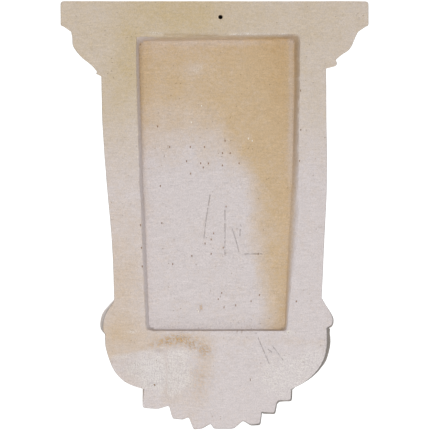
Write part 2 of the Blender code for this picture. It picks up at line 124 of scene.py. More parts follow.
# Back outline of the bowl and of the tips below it: half width or x, and fall below the rim
SHOULDER_RIGHT = ((0.1118, 0.0160), (0.1078, 0.0295), (0.1030, 0.0397), (0.0945, 0.0490), (0.0845, 0.0543))
SHOULDER_LEFT = ((0.1093, 0.0130), (0.1063, 0.0280), (0.0995, 0.0392), (0.0905, 0.0480), (0.0815, 0.0540))
SHOULDER_RUN = 0.094
SHOULDER_LEAFLETS = 2
TIP_NOTCHES = (
    (0.0735, 0.0577), (0.0485, 0.0742), (0.0290, 0.0857), (0.0070, 0.0922),
    (-0.0255, 0.0892), (-0.0440, 0.0802), (-0.0590, 0.0712), (-0.0735, 0.0577),
)
TIP_CORNERS = (
    ((0.0755, 0.0762), (0.0600, 0.0777)),
    ((0.0450, 0.0872), (0.0345, 0.0882)),
    ((0.0240, 0.0980), (0.0150, 0.0970)),
    ((0.0035, 0.0972), (-0.0165, 0.0972)),
    ((-0.0330, 0.0932), (-0.0425, 0.0922)),
    ((-0.0455, 0.0807), (-0.0570, 0.0812)),
    ((-0.0610, 0.0687), (-0.0735, 0.0682)),
)
TIP_FLARE = 0.0030
LEAFLET_RELIEF = 0.009

# Leaf on the front: each lobe's place down the leaf, its turn out from straight down, and its reach
LEAF_START = 0.002
LEAF_LENGTH = 0.245
LEAF_HALF_WIDTH = 0.100
LEAF_RELIEF = 0.010
LEAF_EDGE = 0.003
LEAF_CROWN = 0.006
LEAF_NOSE = 0.026
LEAF_TILT = 0.0045
LEAF_ROOTED = 0.045
LOBE_SPREAD = 42.0
LOBE_FINGERS = 5
LOBES = ((0.15, 68.0, 0.92), (0.31, 60.0, 0.92), (0.47, 50.0, 0.86), (0.62, 36.0, 0.74))
END_LOBE_DOWN = 0.72
RIB_WIDTH = 0.014
RIB_HEIGHT = 0.013

# Hollow in the back, in mm from the centre line and the top: its mouth and floor lines at equal steps
HOLLOW_TOP_MM = 33.0
HOLLOW_BOTTOM_MM = 330.0
HOLLOW_TOP_LEAN_MM = 2.6
LEAN_HALF_RUN_MM = 80.0
LEAN_CENTRE_MM = 35.0
LEAN_REACH_MM = 30.0
MOUTH_RIGHT_MM = (81.5, 81.0, 79.5, 78.0, 76.0, 74.0, 72.0)
MOUTH_LEFT_MM = (83.0, 82.5, 81.5, 81.3, 80.3, 74.5, 69.5)
FLOOR_RIGHT_MM = (78.7, 77.7, 76.2, 74.7, 72.2, 70.2, 68.2)
FLOOR_LEFT_MM = (77.0, 77.0, 75.9, 74.4, 71.8, 69.3, 67.2)
TOP_WALL_MM = 4.0
BOTTOM_WALL_MM = 1.6
FLOOR_DEPTH_MM = (17.0, 8.0)
FLOOR_CORNER_MM = 5.0
MOUTH_CORNER_MM = 1.5
WALL_CURVE = 1.5

NAIL_RADIUS = 0.0021
NAIL_DEPTH = 0.030
NAIL_X = -0.0030
NAIL_DROP = 0.0160

# How the surface wanders: the share, the size and the seed of each unevenness
WEAR = ((0.30, 0.030, 1), (0.14, 0.008, 2), (0.06, 0.0035, 5))

# Marks in the plaster, in mm: x and drop, and for soft patches also the reach each way and the strength
TAN_BORDER = (
    (77.5, 127), (37.5, 129), (17.5, 129), (2.5, 137), (-17.5, 151), (-32.5, 177),
    (-39.5, 204), (-42.5, 229), (-45.5, 259), (-47.5, 289), (-47.5, 335),
)
TAN_SOFTNESS = (36.0, 110.0)
RIM_STAINS = (
    (92, 300, 22, 60, 0.12), (14, 338, 60, 5, 0.14), (22, 8, 62, 40, 0.42), (-95, 15, 30, 30, 0.14),
    (88, 58, 13, 45, 0.26), (104, 95, 16, 60, 0.12), (98, 290, 22, 60, 0.28), (100, 334, 34, 15, 0.34),
    (12, 352, 9, 22, 0.24), (38, 342, 22, 7, 0.22), (88, 377, 16, 12, 0.30), (17, 386, 12, 18, 0.14),
    (-80, 341, 40, 3.5, 0.14), (62, 340, 8, 10, 0.15), (42, 399, 14, 6, 0.16),
)
FLOOR_STAINS = (
    (-60, 58, 24, 55, 0.30), (-62, 130, 8, 70, 0.08), (-71, 245, 8, 40, 0.06), (22, 68, 14, 9, -0.22),
    (79, 200, 9, 130, 0.26), (60, 48, 60, 8, -0.12), (-74, 90, 3.5, 110, -0.45), (0, 40.5, 90, 3.0, -0.35),
)
CHALK_PATCHES = (
    (-72, 376, 34, 22, 0.8), (-97, 356, 14, 14, 0.5), (50, 377, 27, 20, 0.95), (70, 366, 24, 12, 0.6),
    (40, 352, 20, 6, 0.6), (22, 66, 10, 8, 0.5), (-4, 325, 40, 8, 0.35), (86, 331, 12, 3, 0.5),
    (-72, 332, 6, 3, 0.8), (62, 32.5, 8, 1.6, 0.9), (-30, 33.5, 26, 1.6, 0.8), (-68, 34.5, 10, 1.6, 0.7),
)
OCHRE_PATCHES = (
    (62, 344, 7, 4, 0.6), (50, 340, 9, 5, 1.0), (37, 338, 9, 4.5, 1.0), (25, 343, 8, 6, 0.9),
    (13, 350, 7, 6, 0.9), (18, 378, 9, 16, 0.35), (16.5, 307, 2, 4, 0.8),
)
COMB_PATCHES = ((55, 377, 34, 20, 1.0), (88, 366, 12, 9, 0.8))
TROWEL_EDGE = ((112, 360), (90, 354), (67, 349), (52, 346))
TROWEL_SHARP_MM = 1.5
PITS = (
    (27.5, 145), (12.5, 146), (-4.5, 151), (-12.5, 151), (-7.5, 139), (16.5, 161), (8.5, 161), (-5.5, 164),
    (-21.5, 162), (14.5, 167), (27.5, 172), (47.5, 145), (60.5, 125), (57.5, 184), (-8.5, 206), (4.5, 232),
    (6.5, 238), (12.5, 242), (-5.5, 246), (6.5, 252), (25.5, 255), (45.5, 263), (56.5, 221), (-41.5, 253),
    (-0.5, 298), (-18.5, 304), (-6.5, 306), (-33.5, 301), (-4.5, 292), (-42.5, 295), (-79.5, 301),
    (62.5, 383), (75.5, 224), (73.5, 246), (73.0, 265), (-32.5, 378), (-82.5, 90), (-83.5, 128),
    (-82.5, 160), (31.0, 160),
)
CHIPS = ((15.5, 105), (26.5, 120), (-31.5, 137), (-35.5, 140), (19.5, 311), (20.5, 308), (-70.0, 331))
SCRATCHES = (
    ((7.5, 194), (11.5, 219), (13.5, 237)),
    ((-7.5, 209), (-7.5, 254)),
    ((-13.5, 224), (-18.5, 239), (-21.5, 251)),
    ((-23.5, 221), (-22.5, 235)),
    ((-27.5, 253), (-44.5, 253)),
    ((-38.5, 332), (-51.5, 362)),
    ((-54.5, 344), (-65.5, 359)),
    ((-47.5, 346), (-54.5, 351)),
)
PIT_RIM = 0.0004
PIT_DEPTH = 0.0005

# Where marks lie: on the flat back, in a box round the hollow (half width, top and bottom), and on the sides
BACK_SKIN = 0.0012
BACK_REACH = 0.020
BACK_FACING = 0.8
HOLLOW_BOX_MM = (88.0, 30.0, 334.0)
WALL_START = 0.001
SIDE_FACING = 0.6
# Painted shade on the sides next to the back: where it starts behind the back face, how far it reaches and
# how fast it fades
EDGE_SHADE_START = 0.0003
EDGE_SHADE_REACH = 0.050
EDGE_SHADE_FADE = 0.016

# Stage: places are from the middle of the picture, and each lamp also has a size and a power
PICTURE_MIDDLE = (0.0025, 0.0, TOP_Z - 0.214)
PICTURE_WIDTH = 0.430
SENSOR_MM = 36.0
FLOOR_DROP = 1.2
BACKDROP_AWAY = 6.0
LAMPS = {
    "key": ((0.55, 1.9, -0.35), 0.8, 14.6),
    "fill": ((-0.9, 1.7, 0.3), 1.4, 6.6),
    "front_key": ((0.9, -1.4, 1.0), 0.8, 26.0),
}

# Resolution of the casting
TIP_STEPS = (8, 9, 8)
TIP_COLUMNS = sum(TIP_STEPS) * len(TIP_CORNERS)
SHOULDER_COLUMNS = 20
COLUMNS = TIP_COLUMNS + 2 * SHOULDER_COLUMNS
SIDE_COLUMNS = 20
CORNER_COLUMNS = 4
MARGIN_COLUMNS = 4
ROW_STEP = 0.0021
PENDANT_TURNS = (*range(4, 80, 4), 81, 84, 86, 88, 90)
TIP_FACE_ROWS = 18
WALL_COLUMNS = 5
RIM_COLUMNS = 23
EVEN_COLUMNS = 12
WALL_ROWS = (4, 2)
ARRIS = 0.0006
SMOOTH_DEGREES = 26
LOBE_ROWS = (0.06, 0.15, 0.25, 0.35, 0.44, 0.52, 0.60, 0.67, 0.74, 0.80, 0.86, 0.91, 0.95, 0.98, 1.0)
RIB_COLUMNS = 13


def smoothstep(value):
    value = np.clip(value, 0.0, 1.0)
    return value * value * (3.0 - 2.0 * value)


def through(values, share):
    """Smooth curve through values at equal steps, read at share from 0 to 1."""
    values = np.asarray(values, float)
    padded = np.concatenate([[2 * values[0] - values[1]], values, [2 * values[-1] - values[-2]]])
    place = np.clip(share, 0.0, 1.0) * (len(values) - 1)
    index = np.minimum(np.asarray(place).astype(int), len(values) - 2)
    t = place - index
    before, start, end, after = (padded[index + k] for k in range(4))
    return 0.5 * (
        2 * start
        + (end - before) * t
        + (2 * before - 5 * start + 4 * end - after) * t**2
        + (3 * start - before - 3 * end + after) * t**3
    )


def noise(points, size, seed=0):
    """Smooth noise from -1 to 1 at points in space, with features of the given size in metres."""
    place = np.asarray(points, float) / size + 100.0
    cell = np.floor(place).astype(np.int64)
    t = place - cell
    t = t * t * (3.0 - 2.0 * t)
    total = np.zeros(len(place))
    for corner in range(8):
        step = np.array([corner & 1, corner >> 1 & 1, corner >> 2 & 1])
        mixed = (cell + step) @ np.array([73856093, 19349663, 83492791]) + seed * 2654435
        mixed = mixed ^ (mixed >> 13)
        mixed = (mixed * (mixed * mixed % 15731 + 789221) + 1376312589) & 0x7FFFFFFF
        weight = np.prod(np.where(step, t, 1.0 - t), axis=1)
        total += weight * (mixed / 0x3FFFFFFF - 1.0)
    return total


def level(right, left, depth, drops, corner, flare=(0.0, 0.0), taper=0.0, even=0.0, sunk=False):
    """What one row needs: half widths, depth, drops at right, left and front, corner radius and flares."""
    return {
        "right": float(right),
        "left": float(left),
        "depth": float(depth),
        "drops": drops,
        "corner": corner,
        "flare": flare,
        "taper": taper,
        "even": even,
        "sunk": sunk,
    }


def capital_level(inset_right, inset_left, drop_right, drop_left):
    front = drop_left - FRONT_RISE * min(drop_left / FASCIA_HEIGHT, 1.0)
    return level(
        FASCIA_RIGHT - inset_right,
        FASCIA_LEFT - inset_left,
        FASCIA_DEPTH - (inset_right + inset_left) / 2,
        (drop_right, drop_left, front),
        CAPITAL_CORNER,
        taper=CAPITAL_TAPER,
    )


def capital_levels():
    edge = FASCIA_ROUND
    levels = []
    turns = np.linspace(0.0, math.pi / 2, 5)
    outline = [(edge * (1 - math.sin(turn)), edge * (1 - math.cos(turn))) for turn in turns]
    outline += [(0.0, drop) for drop in np.linspace(edge, FASCIA_HEIGHT - edge, 10)[1:-1]]
    outline += [(edge * (1 - math.cos(turn)), FASCIA_HEIGHT - edge * (1 - math.sin(turn))) for turn in turns]
    for inset, drop in outline:
        levels.append(capital_level(inset, inset, drop, drop))
    soffit_end = (OVOLO_INSET_RIGHT[0] + OVOLO_INSET_LEFT[0]) / 2
    for share in (0.33, 0.67):
        inset = edge + (soffit_end - edge) * share
        drop = FASCIA_HEIGHT + (OVOLO_TOP - FASCIA_HEIGHT) * share
        levels.append(capital_level(inset, inset, drop, drop))
    for share in np.linspace(0.0, 1.0, 19):
        levels.append(
            capital_level(
                through(OVOLO_INSET_RIGHT, share),
                through(OVOLO_INSET_LEFT, share),
                OVOLO_TOP + OVOLO_HEIGHT[0] * share,
                OVOLO_TOP + OVOLO_HEIGHT[1] * share,
            )
        )
    for share in np.linspace(0.0, 1.0, 6)[1:]:
        proud = BEAD_PROUD * (2.2 * math.sin(math.pi * share) ** 0.6 - 1.0) if share < 1 else -BEAD_PROUD
        levels.append(
            capital_level(
                OVOLO_INSET_RIGHT[-1] - proud,
                OVOLO_INSET_LEFT[-1] - proud,
                OVOLO_TOP + OVOLO_HEIGHT[0] + BEAD_HEIGHT[0] * share,
                OVOLO_TOP + OVOLO_HEIGHT[1] + BEAD_HEIGHT[1] * share,
            )
        )
    return levels


BODY_START = OVOLO_TOP + sum(OVOLO_HEIGHT) / 2 + sum(BEAD_HEIGHT) / 2 + NECK_FALL


def body_levels():
    margin = PANEL_MARGIN / BODY_HEIGHT
    step = margin + PANEL_STEP / BODY_HEIGHT
    count = round(BODY_HEIGHT / ROW_STEP)
    edge_rows = 5
    shares = [
        *np.linspace(0.0, margin, edge_rows),
        *np.linspace(step, 1.0 - step, count - 2 * edge_rows),
        *np.linspace(1.0 - margin, 1.0, edge_rows),
    ]
    lean = (OVOLO_HEIGHT[0] + BEAD_HEIGHT[0] - OVOLO_HEIGHT[1] - BEAD_HEIGHT[1]) / 2
    levels = []
    for share in shares:
        fade = max(0.0, 1.0 - share / 0.2)
        drop = BODY_START + BODY_HEIGHT * share
        levels.append(
            level(
                through(BODY_RIGHT, share),
                through(BODY_LEFT, share),
                through(BODY_DEPTH, share),
                (drop + lean * fade, drop - lean * fade, drop - (lean + FRONT_RISE) * fade),
                BODY_CORNER,
                taper=CAPITAL_TAPER * fade,
                sunk=step - 1e-6 < share < 1.0 - step + 1e-6,
            )
        )
    return levels


def roll_drops(share):
    """The roll and the rim lie a little lower at the right end than at the left."""
    drop = BODY_START + BODY_HEIGHT + ROLL_HEIGHT * share
    lean = ROLL_LEAN * (0.4 + 0.6 * share)
    return (drop + lean, drop - lean, drop)


def roll_levels():
    levels = []
    for place in np.linspace(0.0, 1.0, 18):
        share = float(through(ROLL_STEPS, place))
        right = float(through(ROLL_SWELL_RIGHT, place))
        left = float(through(ROLL_SWELL_LEFT, place))
        levels.append(
            level(
                BODY_RIGHT[-1] + ROLL_PROUD * right,
                BODY_LEFT[-1] + ROLL_PROUD * left,
                BODY_DEPTH[-1] + ROLL_DEPTH_PROUD * float(through(ROLL_SWELL_FRONT, place)),
                roll_drops(share),
                BODY_CORNER + (ROLL_CORNER - BODY_CORNER) * share,
                flare=(ROLL_FLARE[0] * right, ROLL_FLARE[1] * left),
                even=share,
            )
        )
    return levels


def row_points(spec):
    """One row of the surface, from the right back edge round the front to the left one."""
    path, marks = [], []
    for sign, half, flare in ((1, spec["right"], spec["flare"][0]), (-1, spec["left"], spec["flare"][1])):
        corner = spec["corner"]
        flat = spec["depth"] - corner
        taper = spec["taper"]
        side = [
            (sign * (half + flare * math.sin(math.pi * share) - taper * share), -flat * share)
            for share in np.linspace(0.0, 1.0, 33)
        ]
        arc = [
            (sign * (half - taper - corner * (1.0 - math.cos(turn))), -flat - corner * math.sin(turn))
            for turn in np.linspace(0.0, math.pi / 2, 25)[1:]
        ]
        path.append(side + arc)
        marks.append(len(side) - 1)
    right, left = path
    dense = np.array(right + left[::-1])
    length = np.concatenate([[0.0], np.cumsum(np.hypot(*np.diff(dense, axis=0).T))])
    total = length[-1]
    a, b = length[marks[0]], length[len(right) - 1]
    c, d = length[len(right)], length[len(dense) - 1 - marks[1]]
    panel_columns = COLUMNS - 2 * (SIDE_COLUMNS + CORNER_COLUMNS + MARGIN_COLUMNS + 1)
    inner = (b + PANEL_MARGIN, c - PANEL_MARGIN)
    stops = np.concatenate(
        [
            np.linspace(0.0, a, SIDE_COLUMNS + 1)[:-1],
            np.linspace(a, b, CORNER_COLUMNS + 1)[:-1],
            np.linspace(b, inner[0], MARGIN_COLUMNS + 1),
            np.linspace(inner[0] + PANEL_STEP, inner[1] - PANEL_STEP, panel_columns + 1),
            np.linspace(inner[1], c, MARGIN_COLUMNS + 1),
            np.linspace(c, d, CORNER_COLUMNS + 1)[1:],
            np.linspace(d, total, SIDE_COLUMNS + 1)[1:],
        ]
    )
    tips = np.linspace(SHOULDER_RUN, total - SHOULDER_RUN, TIP_COLUMNS + 1)
    shoulder_stops = np.linspace(0.0, SHOULDER_RUN, SHOULDER_COLUMNS + 1)[:-1]
    rim_stops = np.concatenate([shoulder_stops, tips, (total - shoulder_stops)[::-1]])
    stops = stops * (1.0 - spec["even"]) + rim_stops * spec["even"]
    x = np.interp(stops, length, dense[:, 0])
    y = np.interp(stops, length, dense[:, 1])
    if spec["sunk"]:
        edge = SIDE_COLUMNS + CORNER_COLUMNS + MARGIN_COLUMNS + 1
        y[edge:-edge] += PANEL_SUNK
    drop_right, drop_left, drop_front = spec["drops"]
    ends = np.where(x > 0, drop_right, drop_left)
    drop = drop_front + (ends - drop_front) * (1.0 - smoothstep(-y / BACK_LIP))
    return np.stack([x, y, -drop], axis=1)


def shoulder(half, points, notch, drop):
    """Back outline of the bowl on one side, from its rim to the outer tip, as (half width, drop)."""
    rim_drop = roll_drops(1.0)[2]
    xs = [half, *(x for x, _ in points), abs(notch[0])]
    falls = [drop - rim_drop, *(fall for _, fall in points), notch[1]]
    shares = np.linspace(0.0, 1.0, SHOULDER_COLUMNS + 1)[:-1]
    return [(through(xs, share), rim_drop + through(falls, share)) for share in shares]


def pendant_outline():
    """The lower edge at the back face, from the rim's right end round the worn tips to its left end."""
    drop_right, drop_left, rim_drop = roll_drops(1.0)
    right = shoulder(BOWL_RIGHT, SHOULDER_RIGHT, TIP_NOTCHES[0], drop_right)
    left = shoulder(BOWL_LEFT, SHOULDER_LEFT, TIP_NOTCHES[-1], drop_left)
    points = [(TIP_NOTCHES[0][0], rim_drop + TIP_NOTCHES[0][1])]
    for index, corners in enumerate(TIP_CORNERS):
        run = (TIP_NOTCHES[index], *corners, TIP_NOTCHES[index + 1])
        for start, end, steps in zip(run[:-1], run[1:], TIP_STEPS):
            for share in np.linspace(0.0, 1.0, steps + 1)[1:]:
                x, fall = np.array(start) * (1 - share) + np.array(end) * share
                points.append((x, rim_drop + fall))
    tips = np.array(points)
    for _ in range(2):
        middle = (tips[:-2] + 2.0 * tips[1:-1] + tips[2:]) / 4.0
        tips = np.concatenate([tips[:1], middle, tips[-1:]])
    return np.concatenate([right, tips, [(-x, drop) for x, drop in left[::-1]]])


def leaflet_places():
    """Where each column lies among the leaflets, in leaflets from the right."""
    shoulder_run = np.linspace(0.0, SHOULDER_LEAFLETS, SHOULDER_COLUMNS + 1)[:-1]
    count = len(TIP_CORNERS)
    tips = SHOULDER_LEAFLETS + np.linspace(0.0, count, TIP_COLUMNS + 1)
    whole = count + 2 * SHOULDER_LEAFLETS
    return np.concatenate([shoulder_run, tips, (whole - shoulder_run)[::-1]])


def pendant_rows(rim, edge):
    """Rows from the bowl's rim to its back outline: every column takes a quarter turn inwards and down."""
    rim_drop = -rim[:, 2]
    outer = smoothstep((-edge[:, 0] - 0.02) / 0.02) * smoothstep((edge[:, 0] + 0.078) / 0.005)
    rows = [rim]
    bulge = np.zeros(len(edge))
    swell = np.sin(np.linspace(0.0, math.pi, SHOULDER_COLUMNS + 2))
    bulge[: SHOULDER_COLUMNS + 2] = BOWL_BULGE[0] * swell
    bulge[-SHOULDER_COLUMNS - 2 :] = -BOWL_BULGE[1] * swell
    for angle in PENDANT_TURNS:
        turn = math.radians(angle)
        out = TIP_FLARE * outer * math.sin(math.pi * np.clip((angle - 50) / 40, 0.0, 1.0)) ** 0.5
        x = edge[:, 0] + (rim[:, 0] - edge[:, 0]) * max(math.cos(turn), 0.0) ** 1.5 - 0.5 * out
        x = x + bulge * math.sin(math.pi * max(angle - 20, 0) / 70)
        y = rim[:, 1] * math.cos(turn)
        drop = rim_drop + (edge[:, 1] - rim_drop) * math.sin(turn) + out
        rows.append(np.stack([x, y, -drop], axis=1))
    rows[-1][:, 1] = 0.0
    return np.array(rows)


def raise_leaflets(rows):
    """Raises one rounded leaflet above each tip and on the shoulders, with a groove and two fine veins."""
    across = np.gradient(rows, axis=1)
    down = np.gradient(rows, axis=0)
    normal = np.cross(across, down)
    normal /= np.maximum(np.linalg.norm(normal, axis=2, keepdims=True), 1e-12)
    place = leaflet_places()
    whole = place[-1]
    b = np.abs(2.0 * (place - np.floor(np.minimum(place, whole - 1e-9))) - 1.0)
    body = np.clip(1.0 - b**2.4, 0.0, 1.0) ** 0.6
    groove = 1.0 - 0.35 * np.exp(-((b / 0.16) ** 2)) - 0.09 * np.exp(-(((b - 0.55) / 0.10) ** 2))
    turns = np.radians([0, *PENDANT_TURNS])
    fade = smoothstep(turns / 0.45) * np.clip(np.cos(turns), 0.0, 1.0) ** 1.3
    edge = smoothstep((np.minimum(place, whole - place) - 0.4) / 1.8)
    lift = LEAFLET_RELIEF * fade[:, None] * (body * groove * edge)[None, :]
    return rows + normal * lift[..., None]


def hollow_line(values_mm, drop_mm):
    return through(values_mm, (drop_mm - HOLLOW_TOP_MM) / (HOLLOW_BOTTOM_MM - HOLLOW_TOP_MM))


def mouth_top_mm(x_mm):
    """The mouth's top edge drops a little towards the right."""
    share = (x_mm + LEAN_HALF_RUN_MM) / (2.0 * LEAN_HALF_RUN_MM)
    return HOLLOW_TOP_MM + HOLLOW_TOP_LEAN_MM * smoothstep(share)


def floor_depth_mm(drop_mm):
    share = (drop_mm - HOLLOW_TOP_MM) / (HOLLOW_BOTTOM_MM - HOLLOW_TOP_MM)
    return FLOOR_DEPTH_MM[0] + (FLOOR_DEPTH_MM[1] - FLOOR_DEPTH_MM[0]) * share


def corner_distance(across, down, radius):
    """Distance outside a corner rounded by the radius, from the distances outside its two sides."""
    inside = np.minimum(np.maximum(across, down), -radius)
    outer = np.hypot(np.clip(across + radius, 0.0, None), np.clip(down + radius, 0.0, None)) - radius
    return np.where(outer > -radius, outer, inside)


def hollow_depth(x, drop):
    """Depth of the hollow at points of the back face, and how far down its wall they lie, 0 to 1."""
    x_mm, d_mm = x / MM, drop / MM
    place = np.stack([x, np.zeros_like(x), drop], axis=1)
    ragged = 0.45 * noise(place, 0.006, 3) + 0.25 * noise(place, 0.0025, 4)
    mouth = np.where(x_mm > 0, hollow_line(MOUTH_RIGHT_MM, d_mm), hollow_line(MOUTH_LEFT_MM, d_mm))
    floor = np.where(x_mm > 0, hollow_line(FLOOR_RIGHT_MM, d_mm), hollow_line(FLOOR_LEFT_MM, d_mm))
    top = mouth_top_mm(x_mm)
    across_mouth = np.abs(x_mm) - mouth
    down_mouth = np.maximum(top - d_mm, d_mm - HOLLOW_BOTTOM_MM)
    across_floor = np.abs(x_mm) - floor
    down_floor = np.maximum(top + TOP_WALL_MM - d_mm, d_mm - HOLLOW_BOTTOM_MM + BOTTOM_WALL_MM)
    inside = -corner_distance(across_mouth, down_mouth, MOUTH_CORNER_MM) + ragged
    outside = np.clip(corner_distance(across_floor, down_floor, FLOOR_CORNER_MM), 0.0, None)
    share = np.where(inside > 0.0, inside / np.maximum(inside + outside, 1e-6), 0.0)
    return floor_depth_mm(d_mm) * share**WALL_CURVE * MM, share


def back_sheet(ends):
    """The flat back with the hollow sunk in it: columns follow its edges, and rows meet the outline's."""
    right_ends, left_ends = ends
    count = len(right_ends)
    drops = (-right_ends[:, 2] - left_ends[:, 2]) / 2 / MM
    top_row = int(np.argmin(np.abs(drops - HOLLOW_TOP_MM)))
    bottom_row = int(np.argmin(np.abs(drops - HOLLOW_BOTTOM_MM)))
    knots = [0, top_row, top_row + WALL_ROWS[0], bottom_row - WALL_ROWS[1], bottom_row, count - 1]
    levels = [
        drops[0],
        HOLLOW_TOP_MM,
        HOLLOW_TOP_MM + TOP_WALL_MM,
        HOLLOW_BOTTOM_MM - BOTTOM_WALL_MM,
        HOLLOW_BOTTOM_MM,
        drops[-1],
    ]
    inner_mm = np.interp(np.arange(count), knots, levels)
    arris_mm = ARRIS / MM
    floor_columns = TIP_COLUMNS - 2 * (WALL_COLUMNS + RIM_COLUMNS + 1)
    marks = np.cumsum([0, 1, RIM_COLUMNS, WALL_COLUMNS, floor_columns, WALL_COLUMNS, RIM_COLUMNS, 1])
    columns = np.arange(TIP_COLUMNS + 1)
    sheet = np.zeros((count, TIP_COLUMNS + 1, 3))
    notches = np.array([x for x, _ in TIP_NOTCHES])
    bottom_x = np.interp(columns / sum(TIP_STEPS), np.arange(len(notches)), notches)
    full_lean = mouth_top_mm(np.array([LEAN_HALF_RUN_MM, -LEAN_HALF_RUN_MM])) - HOLLOW_TOP_MM
    for i, d in enumerate(inner_mm):
        lean = full_lean * smoothstep(1.0 - abs(d - LEAN_CENTRE_MM) / LEAN_REACH_MM)
        xr, xl = right_ends[i, 0] / MM, left_ends[i, 0] / MM
        dr, dl = -right_ends[i, 2] / MM, -left_ends[i, 2] / MM
        key_x = [
            xr,
            xr - arris_mm,
            hollow_line(MOUTH_RIGHT_MM, d),
            hollow_line(FLOOR_RIGHT_MM, d),
            -hollow_line(FLOOR_LEFT_MM, d),
            -hollow_line(MOUTH_LEFT_MM, d),
            xl + arris_mm,
            xl,
        ]
        key_d = [dr, dr, d + lean[0], d + lean[0], d + lean[1], d + lean[1], dl, dl]
        x = np.interp(columns, marks, key_x) * MM
        drop = np.interp(columns, marks, key_d) * MM
        blend = smoothstep((i - bottom_row) / max(count - 1 - bottom_row, 1))
        x = x * (1.0 - blend) + bottom_x * blend
        x[1 : EVEN_COLUMNS + 1] = np.linspace(xr * MM - ARRIS, x[EVEN_COLUMNS], EVEN_COLUMNS)
        x[-EVEN_COLUMNS - 1 : -1] = np.linspace(x[-EVEN_COLUMNS - 1], xl * MM + ARRIS, EVEN_COLUMNS)
        sheet[i, :, 0] = x
        sheet[i, :, 2] = -drop
    inner = sheet[:, 1:-1].reshape(-1, 3)
    depth = hollow_depth(inner[:, 0], -inner[:, 2])[0]
    sheet[:, 1:-1, 1] = -depth.reshape(count, TIP_COLUMNS - 1)
    sheet[:, 0], sheet[:, -1] = right_ends, left_ends
    return sheet


def tip_sheet(top_row, edge):
    """The back face of the tips, from the bottom row of the back sheet to the worn outline."""
    rows = [top_row]
    for share in (*np.linspace(0.0, 0.97, TIP_FACE_ROWS)[1:], 1.0):
        row = top_row * (1.0 - share) + edge * share
        if share < 1.0:
            row[1:-1, 1] = 0.0
        rows.append(row)
    return np.array(rows)


def clear_selection():
    if bpy.context.object and bpy.context.object.mode != "OBJECT":
        bpy.ops.object.mode_set(mode="OBJECT")
    bpy.ops.object.select_all(action="DESELECT")


def sheet_object(name, points):
    """A grid primitive laid over rows and columns of points."""
    clear_selection()
    rows, columns, _ = points.shape
    bpy.ops.mesh.primitive_grid_add(x_subdivisions=columns - 1, y_subdivisions=rows - 1, size=2.0)
    sheet = bpy.context.object
    sheet.name = name
    laid = np.empty(rows * columns * 3)
    sheet.data.vertices.foreach_get("co", laid)
    laid = laid.reshape(-1, 3)
    column = np.rint((laid[:, 0] + 1.0) / 2.0 * (columns - 1)).astype(int)
    row = np.rint((1.0 - laid[:, 1]) / 2.0 * (rows - 1)).astype(int)
    sheet.data.vertices.foreach_set("co", points[row, column].ravel())
    return sheet


def joined(name, pieces):
    """Joins sheets whose borders meet into one closed shell with its faces outwards."""
    clear_selection()
    for piece in pieces:
        piece.select_set(True)
    bpy.context.view_layer.objects.active = pieces[0]
    bpy.ops.object.join()
    shell = bpy.context.object
    shell.name = shell.data.name = name
    bpy.ops.object.mode_set(mode="EDIT")
    bpy.ops.mesh.select_all(action="SELECT")
    bpy.ops.mesh.remove_doubles(threshold=1e-5)
    bpy.ops.mesh.select_all(action="DESELECT")
    bpy.ops.mesh.select_mode(type="EDGE")
    bpy.ops.mesh.select_non_manifold(
        extend=False, use_wire=False, use_multi_face=False, use_non_contiguous=False
    )
    bpy.ops.mesh.edge_face_add()
    bpy.ops.mesh.select_all(action="SELECT")
    bpy.ops.mesh.normals_make_consistent(inside=False)
    bpy.ops.object.mode_set(mode="OBJECT")
    return shell


def boolean(target, tool, operation):
    """Joins or cuts the target with the tool, which is then deleted."""
    clear_selection()
    target.select_set(True)
    bpy.context.view_layer.objects.active = target
    modifier = target.modifiers.new(tool.name, "BOOLEAN")
    modifier.operation = operation
    modifier.solver = "EXACT"
    modifier.object = tool
    bpy.ops.object.modifier_apply(modifier=modifier.name)
    bpy.data.objects.remove(tool)


def body_depth(down):
    return through(BODY_DEPTH, (down + LEAF_START) / BODY_HEIGHT)


def leaf_bed(x, down):
    """Depth of the surface the leaf grows from: it follows the body, bows out and lifts at the lower end."""
    crown = LEAF_CROWN * (1.0 - np.clip(x / LEAF_HALF_WIDTH, -1.0, 1.0) ** 2)
    nose = LEAF_NOSE * smoothstep((down / LEAF_LENGTH - 0.55) / 0.42)
    return body_depth(down) - PANEL_SUNK + crown + nose


def finger_place(phi):
    place = (phi + 1.0) / 2.0 * LOBE_FINGERS
    return 2.0 * (place - np.floor(np.minimum(place, LOBE_FINGERS - 1e-9))) - 1.0


def lobe_reach(phi):
    b = finger_place(phi)
    return (1.0 - 0.28 * np.abs(phi) ** 2.2) * (1.0 - 0.17 * np.abs(b) ** 3.0)


def lobe_height(r, phi):
    """Height of a lobe above its bed at the share r of its reach, as a share of the relief."""
    b = finger_place(phi)
    rise = 0.30 + 0.70 * np.sin(np.pi / 2 * np.clip(r / 0.75, 0.0, 1.0))
    round_over = np.sqrt(np.clip(1.0 - (np.clip(r - 0.72, 0.0, 1.0) / 0.30) ** 2, 0.0, 1.0))
    outer = smoothstep((r - 0.3) / 0.45)
    valley = 1.0 - 0.60 * np.abs(b) ** 2.5 * outer
    vein = 1.0 - 0.16 * np.exp(-((b / 0.14) ** 2)) * outer
    vein = vein - 0.05 * np.exp(-(((np.abs(b) - 0.5) / 0.1) ** 2)) * outer
    return rise * round_over * valley * vein


def rooted(name, top):
    """A raised sheet made solid by extruding it back into the body."""
    piece = sheet_object(name, top)
    bpy.ops.object.mode_set(mode="EDIT")
    bpy.ops.mesh.select_all(action="SELECT")
    bpy.ops.mesh.extrude_region_move(TRANSFORM_OT_translate={"value": (0.0, LEAF_ROOTED, 0.0)})
    bpy.ops.mesh.select_all(action="SELECT")
    bpy.ops.mesh.normals_make_consistent(inside=False)
    bpy.ops.object.mode_set(mode="OBJECT")
    return piece


